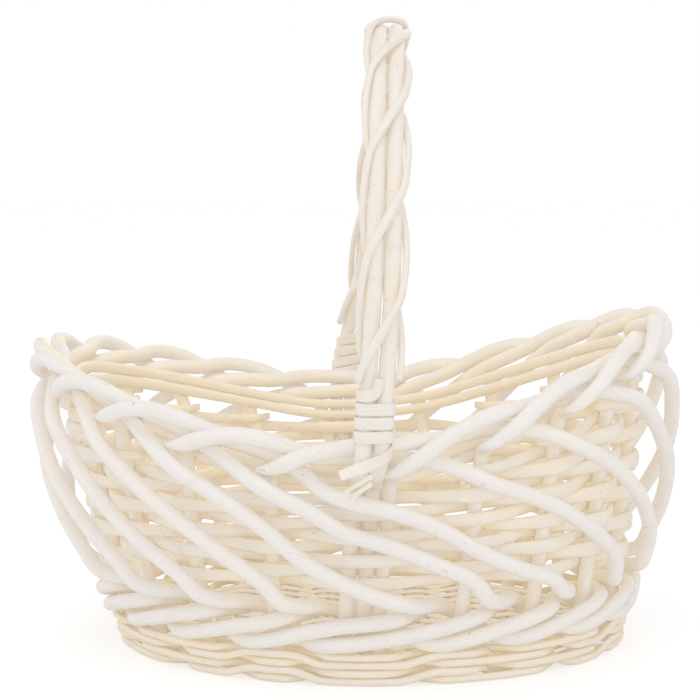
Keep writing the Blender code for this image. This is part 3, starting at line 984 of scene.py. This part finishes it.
def bow_points(left):
    """A whole bow, near leg, arch, far leg, and a leg's count. The left bow is the one at -X."""
    outer = bow_to_stake + bow_spacing
    near_from, far_from = (outer, bow_to_stake) if left else (bow_to_stake, outer)
    near = bow_leg(0, near_from, 0, near_binding_lean)
    far = bow_leg(half_count, far_from, far_rim_lean, far_binding_lean)
    spring, fall = near[-1], far[-1]
    aside = handle_top_aside + (-1 if left else 1) * bow_spacing / 2
    rise = handle_top_height - bow_radius - (spring.z + fall.z) / 2
    steps = 16
    arch = []
    for index in range(1, steps):
        turn = math.pi * index / steps
        across = math.copysign(abs(math.cos(turn)) ** (2 / handle_bow_power), math.cos(turn))
        up = math.sin(turn) ** (2 / handle_bow_power)
        place = spring.lerp(fall, (1 - across) / 2)
        place.z += rise * up
        leg_end = spring if across > 0 else fall
        place.x = mix(leg_end.x, aside, math.sin(turn) ** handle_lean_power)
        arch.append(place)
    return near + arch + list(reversed(far)), len(near)


def resample(points, count):
    centres, _ = smooth_line(points, [0] * len(points), 0.001)
    lengths = np.concatenate([[0], np.cumsum(np.linalg.norm(np.diff(centres, axis=0), axis=1))])
    wanted = np.linspace(0, lengths[-1], count)
    made = np.column_stack([np.interp(wanted, lengths, centres[:, i]) for i in range(3)])
    return [Vector(row) for row in made], lengths[-1]


def round_pair(centre, across, outward, turn, radius):
    """Place on the stadium round the two bows, at an angle from their common line."""
    flat_share = 1.7
    side = max(-1, min(1, flat_share * math.cos(turn)))
    along = bow_spacing / 2 * side + radius * math.cos(turn)
    return centre + across * along + outward * radius * math.sin(turn)


def make_bows():
    left, leg_count = bow_points(True)
    right = bow_points(False)[0]
    for index, (side, points) in enumerate((("left", left), ("right", right))):
        centres, radius = smooth_line(points, [bow_radius] * len(points), ring_spacing)
        tangents = unit(np.gradient(centres, axis=0))
        guide = carried(tangents, np.array([0.0, -1.0, 0.0]))
        piece = swept(f"handle_bow_{side}_willow", centres, radius[:, 0], radius[:, 0], guide,
                      handle_willow, seed=400 + index, warm=0.35, paint_hollow_shade=False)
        part_of(piece, "handle_willow", f"handle_bow_{side}")
    return left, right, leg_count


def make_wraps(arch_left, arch_right):
    samples = 90
    lefts, length = resample(arch_left, samples)
    rights, _ = resample(arch_right, samples)
    for index in range(wrap_count):
        points = []
        middles = []
        for step in range(samples):
            centre = (lefts[step] + rights[step]) / 2
            across = (rights[step] - lefts[step]).normalized()
            before, after = max(0, step - 1), min(samples - 1, step + 1)
            along = (lefts[after] - lefts[before]).normalized()
            outward = across.cross(along).normalized()
            turn = 2 * math.pi * (step / (samples - 1) * length / wrap_pitch)
            turn += 2 * math.pi * index / wrap_count + wrap_phase
            points.append(round_pair(centre, across, outward, -turn, wrap_reach))
            middles.append(centre)
        sizes = [(wrap_half_thickness, wrap_half_height)] * (samples - 2)
        centres, sizes = smooth_line(points[1:-1], sizes, ring_spacing)
        middle, _ = smooth_line(middles[1:-1], [0] * (samples - 2), ring_spacing)
        nearest = np.linspace(0, len(middle) - 1, len(centres)).round().astype(int)
        piece = swept(f"handle_wrap_{index + 1}_willow", centres, sizes[:, 0], sizes[:, 1],
                      unit(centres - middle[nearest]), handle_willow, seed=420 + index,
                      warm=0.35, paint_hollow_shade=False)
        part_of(piece, "fine_foot_willow", f"handle_wrap_{index + 1}")


def skein(name, points, middle, half_height, seed):
    centres, _ = smooth_line(points, [0] * len(points), skein_spacing)
    guide = centres - np.array([*middle])
    guide[:, 2] = 0
    thin = np.full(len(centres), skein_half_thickness)
    tall = np.full(len(centres), half_height)
    return swept(f"{name}_skein", centres, thin, tall, unit(guide), skein_willow, seed=seed,
                 warm=0.30, knots=False, paint_hollow_shade=False)


def make_binding(name, first_bow, second_bow, at, above, seed, loose_ends):
    """Flat skein wound round both bows above the rim, with its tail over the border."""
    centre = (first_bow[at] + second_bow[at]) / 2
    upper = (first_bow[above] + second_bow[above]) / 2
    climb = (upper - centre) / (upper - centre).z
    across = second_bow[at] - first_bow[at]
    across.z = 0
    across.normalize()
    outward = across.cross(Vector((0, 0, 1)))
    half = bow_spacing / 2 + binding_reach
    low = skein_height / 2 + gap
    steps = 24
    back_share = 0.5
    end_turn = 3.60

    def in_front(side_share, rise_share, layers=1.0):
        aside = across * half * side_share
        forward = outward * (binding_reach + layers * (2 * skein_half_thickness + gap))
        return centre + aside + forward + climb * (low + rise_share * skein_pitch)

    points = [in_front(*shares) for shares in binding_tail_shares]
    for index in range(int(end_turn * steps) + 1):
        turns, part = divmod(index / steps, 1)
        lift = skein_pitch * (turns + min(1, part / back_share))
        at_bow = round_pair(centre, across, outward, -2 * math.pi * part, binding_reach)
        points.append(at_bow + climb * (low + lift))
    if loose_ends:
        points += [in_front(*shares) for shares in binding_fold_shares]
    piece = skein(name, points, centre, skein_height / 2, seed)
    part_of(piece, "willow_skein", name)
    for index, shares in enumerate(loose_ends):
        ends = [in_front(*share) for share in shares]
        loose = skein(f"{name}_end_{index + 1}", ends, centre, loose_end_half_height, seed + 10 + index)
        part_of(loose, "willow_skein")


def make_handle():
    left, right, leg_count = make_bows()
    arch = slice(leg_count - 1, 1 - leg_count)
    make_wraps(left[arch], right[arch])
    low_end = leg_count - straight_count
    make_binding("near_binding", left, right, low_end, leg_count - 1, 440, loose_end_shares)
    make_binding("far_binding", right, left, -low_end - 1, -leg_count, 441, [])


def base_piece(name, points, values, spacing, seed, *nodes, closed=False, rough=1.0):
    centres, sizes = smooth_line(points, values, spacing, closed)
    upwards = np.tile([0.0, 0.0, 1.0], (len(centres), 1))
    guide = oval_outwards(centres) if closed else upwards
    piece = swept(name, centres, sizes[:, 0], sizes[:, 1], guide, foot_willow, closed=closed,
                  seed=seed, warm=0.4, paint_hollow_shade=False, rough=rough)
    part_of(piece, "fine_foot_willow", *nodes)


def make_base():
    """Oval base: sticks crossed with weavers that go over one and under the next, and a rod
    round its edge."""
    height = foot_row_first + foot_row_pitch
    inset = foot_row_reach + bow_extra_reach + foot_rod_radius + gap
    half_length = wall_point(0, height, -inset).x - foot_shift
    half_width = wall_point(math.pi / 2, height, -inset).y
    stick_radius = 0.0010
    stick_count = 9
    stick_span = 0.21
    stick_step = stick_span / (stick_count - 1)
    weaver_thin = 0.0009
    weaver_width_share = 0.99
    edge_share = 0.955
    end_room = 0.0026
    stick_share = 0.93
    corner_share = 0.98
    edge_radius = 0.0020
    edge_inset = inset - 0.3 * edge_radius
    base_spacing = 0.005
    for index in range(stick_count):
        x = (index - (stick_count - 1) / 2) * stick_step
        y = stick_share * half_width * math.sqrt(1 - (x / half_length) ** 2)
        points = [Vector((foot_shift + x, side * y, height)) for side in (-1, 0, 1)]
        values = [(stick_radius, stick_radius)] * len(points)
        nodes = ["base_panel"] if index == 0 else []
        base_piece(f"base_stick_{index + 1}_willow", points, values, 1.2 * base_spacing,
                   500 + index, *nodes)
    for index in range(base_row_count):
        across = edge_share * mix(-1, 1, (2 * index + 1) / (2 * base_row_count))
        outer = (abs(across) + edge_share / base_row_count) / corner_share
        reach = half_length * math.sqrt(1 - outer * outer) - end_room
        steps = max(6, 2 * int(2 * reach / stick_step))
        points = []
        for step in range(steps + 1):
            x = mix(-reach, reach, step / steps)
            wave = math.cos(math.pi * (x / stick_step + index))
            lift = wave * (stick_radius + weaver_thin + gap)
            points.append(Vector((foot_shift + x, across * half_width, height + lift)))
        half_height = weaver_width_share * edge_share * half_width / base_row_count
        values = [(weaver_thin, half_height)] * len(points)
        base_piece(f"base_weaver_{index + 1}_willow", points, values, base_spacing,
                   520 + index, rough=0.5)
    edge_steps = 60
    points = [
        wall_point(2 * math.pi * step / edge_steps, height, -edge_inset)
        for step in range(edge_steps)
    ]
    values = [(edge_radius, edge_radius)] * edge_steps
    base_piece("base_edge_willow", points, values, 0.8 * base_spacing, 560, closed=True)


def fresh_tree(owner, output_kind):
    owner.use_nodes = True
    tree = owner.node_tree
    tree.nodes.clear()
    return tree, tree.nodes.new(output_kind)


def plain_shader(tree, kind, colour, strength=None):
    made = tree.nodes.new(kind)
    made.inputs["Color"].default_value = (*colour, 1)
    if strength is not None:
        made.inputs["Strength"].default_value = strength
    return made.outputs[0]


def show_camera(tree, output, lit, seen, amount):
    """Mixes an amount of the seen shader over the lit one, for the camera's rays alone."""
    path = tree.nodes.new("ShaderNodeLightPath")
    share = tree.nodes.new("ShaderNodeMath")
    share.operation = "MULTIPLY"
    share.inputs[1].default_value = amount
    tree.links.new(path.outputs["Is Camera Ray"], share.inputs[0])
    pick = tree.nodes.new("ShaderNodeMixShader")
    tree.links.new(share.outputs[0], pick.inputs[0])
    tree.links.new(lit, pick.inputs[1])
    tree.links.new(seen, pick.inputs[2])
    tree.links.new(pick.outputs[0], output.inputs[0])


def stand(name, data, place, forward):
    made = bpy.data.objects.new(name, data)
    bpy.context.scene.collection.objects.link(made)
    made.location = place
    made.rotation_mode = "QUATERNION"
    made.rotation_quaternion = forward.to_track_quat("-Z", "Y")
    return made


def add_lamp(name, kind, power, place, aim, **values):
    data = bpy.data.lights.new(name, kind)
    data.energy = power
    for key, value in values.items():
        setattr(data, key, value)
    stand(name, data, place, Vector(aim) - Vector(place))


def make_camera():
    data = bpy.data.cameras.new("camera")
    pitch = math.atan2(camera_height - camera_aim_height, camera_distance)
    place = (
        camera_distance * math.sin(camera_azimuth) + camera_aside,
        -camera_distance * math.cos(camera_azimuth),
        camera_height,
    )
    forward = Vector((
        -math.sin(camera_azimuth) * math.cos(pitch),
        math.cos(camera_azimuth) * math.cos(pitch),
        -math.sin(pitch),
    ))
    bpy.context.scene.camera = stand("camera", data, place, forward)
    data.sensor_width = camera_sensor_mm
    data.lens = camera_lens_mm
    data.shift_y = camera_shift_up
    data.clip_end = 50


def make_floor():
    """Pale floor that keeps the object's shadow, a hair below the basket's foot."""
    half = 6.0
    mesh = bpy.data.meshes.new("floor")
    corners = [(-half, -half, 0), (half, -half, 0), (half, half, 0), (-half, half, 0)]
    mesh.from_pydata(corners, [], [(0, 1, 2, 3)])
    floor = bpy.data.objects.new("floor", mesh)
    bpy.context.scene.collection.objects.link(floor)
    floor.location.z = -floor_drop
    material = bpy.data.materials.new("floor_paper")
    tree, output = fresh_tree(material, "ShaderNodeOutputMaterial")
    matt = plain_shader(tree, "ShaderNodeBsdfDiffuse", (0.93, 0.93, 0.93))
    glow = plain_shader(tree, "ShaderNodeEmission", (1, 1, 1), floor_glow)
    show_camera(tree, output, matt, glow, floor_glow_share)
    mesh.materials.append(material)
    floor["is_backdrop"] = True


def make_studio():
    make_camera()
    world = bpy.data.worlds.new("studio")
    bpy.context.scene.world = world
    tree, output = fresh_tree(world, "ShaderNodeOutputWorld")
    light = plain_shader(tree, "ShaderNodeBackground", sky_colour, sky_power)
    seen = plain_shader(tree, "ShaderNodeBackground", (1, 1, 1), 1.0)
    show_camera(tree, output, light, seen, 1.0)
    make_floor()
    lamps = [
        ("top", (-0.25, -0.35, 1.6), 1.4, 2.6),
        ("front", (0.5, -1.4, 0.7), 1.0, 0.7),
    ]
    for name, place, size, power in lamps:
        add_lamp(name, "AREA", power, place, (0, 0, 0.12), shape="DISK", size=size)
    fills = [
        ("fill_front", (-0.3, -1.0, 0.25), 0.70),
        ("fill_back", (0.3, 1.0, 0.25), 0.70),
        ("fill_left", (-1.0, 0.3, 0.25), 0.55),
        ("fill_right", (1.0, -0.3, 0.25), 0.55),
        ("fill_top", (0.0, -0.2, 1.0), 0.54),
    ]
    for name, place, power in fills:
        add_lamp(name, "SUN", power, place, (0, 0, 0), angle=fill_angle, use_shadow=False)
    bpy.context.scene.view_settings.view_transform = "Standard"


make_studio()
make_rods()
make_side_rows()
make_short_rows()
make_end_rows()
make_top_rows()
make_foot_rows()
make_base()
make_handle()

boxes = {"cad": cad_box, "visual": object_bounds()}
{name: [[float(v) for v in corner] for corner in box] for name, box in boxes.items()}
